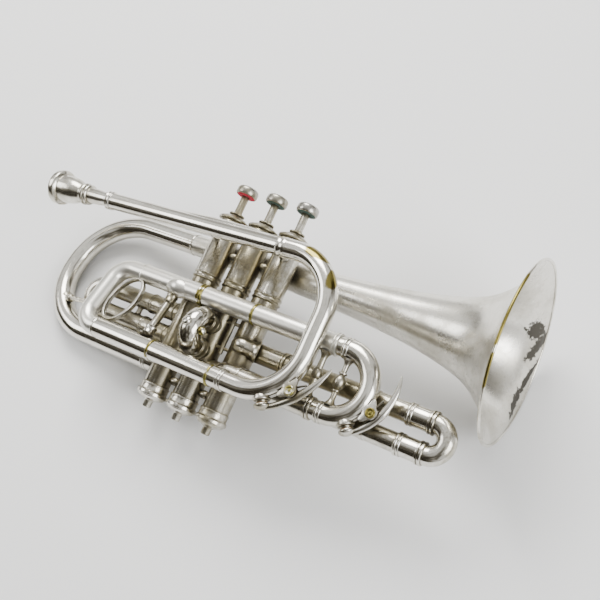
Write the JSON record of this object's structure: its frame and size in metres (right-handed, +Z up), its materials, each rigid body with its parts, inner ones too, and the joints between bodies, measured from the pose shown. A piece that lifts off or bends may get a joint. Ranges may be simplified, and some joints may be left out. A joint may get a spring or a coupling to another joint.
{
  "type": "cornet",
  "caption": "Short three-valve brass cornet with pull slides, two water keys, finger ring and removable mouthpiece, lying on its side.",
  "frame": {"origin": "middle of the underside of the whole instrument as it lies on a table", "axes": "+X forward towards the bell mouth, +Z up from the table, +Y towards the finger buttons"},
  "size_m": [0.3642, 0.1842, 0.1188],
  "materials": {
    "silver_plate": "silver plated, lightly tarnished, worn to brass at edges",
    "bare_brass": "polished, aged",
    "button_metal": "satin with a mottled grey inlay",
    "spring_steel": "plain wire",
    "red_felt": "felt",
    "dark_felt": "felt",
    "cork": "matt cork"
  },
  "bodies": {
    "horn": {"receiver": "silver_plate", "leadpipe": "silver_plate", "leadpipe_stays": "silver_plate", "front_bow": "silver_plate", "lower_tube": "silver_plate", "rear_bow": "silver_plate", "upper_sleeve": "silver_plate", "tuning_lower_sleeve": "silver_plate", "tuning_sleeve_stay": "silver_plate", "valve_spacers": "silver_plate", "valve_guides": "silver_plate", "first_slide_sleeves": "silver_plate", "second_slide_sleeves": "silver_plate", "third_slide_sleeves": "silver_plate", "bell": "silver_plate", "bell_rim_wire": "silver_plate", "bell_crook": "silver_plate", "bell_stays": "silver_plate", "finger_ring": "silver_plate", "loop_stay": "silver_plate", "valve_casing_1": "silver_plate", "top_cap_1": "silver_plate", "bottom_cap_1": "silver_plate", "valve_spring_1": "spring_steel", "valve_casing_2": "silver_plate", "top_cap_2": "silver_plate", "bottom_cap_2": "silver_plate", "valve_spring_2": "spring_steel", "valve_casing_3": "silver_plate", "top_cap_3": "silver_plate", "bottom_cap_3": "silver_plate", "valve_spring_3": "spring_steel", "front_key_mount": "silver_plate", "front_key_spring": "spring_steel", "front_key_screw": "bare_brass"},
    "mouthpiece": {"mouthpiece": "silver_plate"},
    "tuning_slide": {"tuning_slide": "silver_plate", "tuning_brace": "silver_plate", "tuning_key_mount": "silver_plate", "tuning_key_screw": "bare_brass", "tuning_key_spring": "spring_steel"},
    "front_key": {"front_key_lever": "silver_plate", "front_key_cork": "cork"},
    "tuning_key": {"tuning_key_lever": "silver_plate", "tuning_key_cork": "cork"},
    "first_slide": {"first_slide": "silver_plate"},
    "second_slide": {"second_slide": "silver_plate"},
    "third_slide": {"third_slide": "silver_plate"},
    "valve_1": {"piston_1": "silver_plate", "valve_stem_1": "silver_plate", "finger_button_1": "button_metal", "button_felt_1": "red_felt"},
    "valve_2": {"piston_2": "silver_plate", "valve_stem_2": "silver_plate", "finger_button_2": "button_metal", "button_felt_2": "dark_felt"},
    "valve_3": {"piston_3": "silver_plate", "valve_stem_3": "silver_plate", "finger_button_3": "button_metal", "button_felt_3": "dark_felt"}
  },
  "joints": [
    {"name": "valve_1_press", "type": "slide", "parent": "horn", "child": "valve_1", "axis": [0.0348, -0.97, -0.2406], "range_m": [0, 0.014], "stiffness_N_per_m": 60, "springref_m": -0.02, "deforming": ["valve_spring_1"]},
    {"name": "valve_2_press", "type": "slide", "parent": "horn", "child": "valve_2", "axis": [0.0348, -0.97, -0.2406], "range_m": [0, 0.014], "stiffness_N_per_m": 60, "springref_m": -0.02, "deforming": ["valve_spring_2"]},
    {"name": "valve_3_press", "type": "slide", "parent": "horn", "child": "valve_3", "axis": [0.0348, -0.97, -0.2406], "range_m": [0, 0.014], "stiffness_N_per_m": 60, "springref_m": -0.02, "deforming": ["valve_spring_3"]},
    {"name": "tuning_slide_pull", "type": "slide", "parent": "horn", "child": "tuning_slide", "axis": [0.9897, 0, 0.1431], "range_m": [0, 0.025]},
    {"name": "first_slide_pull", "type": "slide", "parent": "horn", "child": "first_slide", "axis": [-0.9897, 0, -0.1431], "range_m": [0, 0.005]},
    {"name": "second_slide_pull", "type": "slide", "parent": "horn", "child": "second_slide", "axis": [-0.1389, -0.2431, 0.96], "range_m": [0, 0.006]},
    {"name": "third_slide_pull", "type": "slide", "parent": "horn", "child": "third_slide", "axis": [0.9897, 0, 0.1431], "range_m": [0, 0.014]},
    {"name": "mouthpiece_pull", "type": "slide", "parent": "horn", "child": "mouthpiece", "axis": [-0.9876, -0.0381, -0.1525], "range_m": [0, 0.03]},
    {"name": "front_key_lift", "type": "hinge", "parent": "horn", "child": "front_key", "pos_m": [0.06562, -0.05539, 0.07471], "axis": [-0.1389, -0.2431, 0.96], "range_deg": [0, 14], "stiffness_Nm_per_rad": 0.02, "springref_deg": -34.38, "deforming": ["front_key_spring"]},
    {"name": "tuning_key_lift", "type": "hinge", "parent": "tuning_slide", "child": "tuning_key", "pos_m": [0.11339, -0.04537, 0.06958], "axis": [-0.1389, -0.2431, 0.96], "range_deg": [0, 14], "stiffness_Nm_per_rad": 0.02, "springref_deg": -34.38, "deforming": ["tuning_key_spring"]}
  ]
}
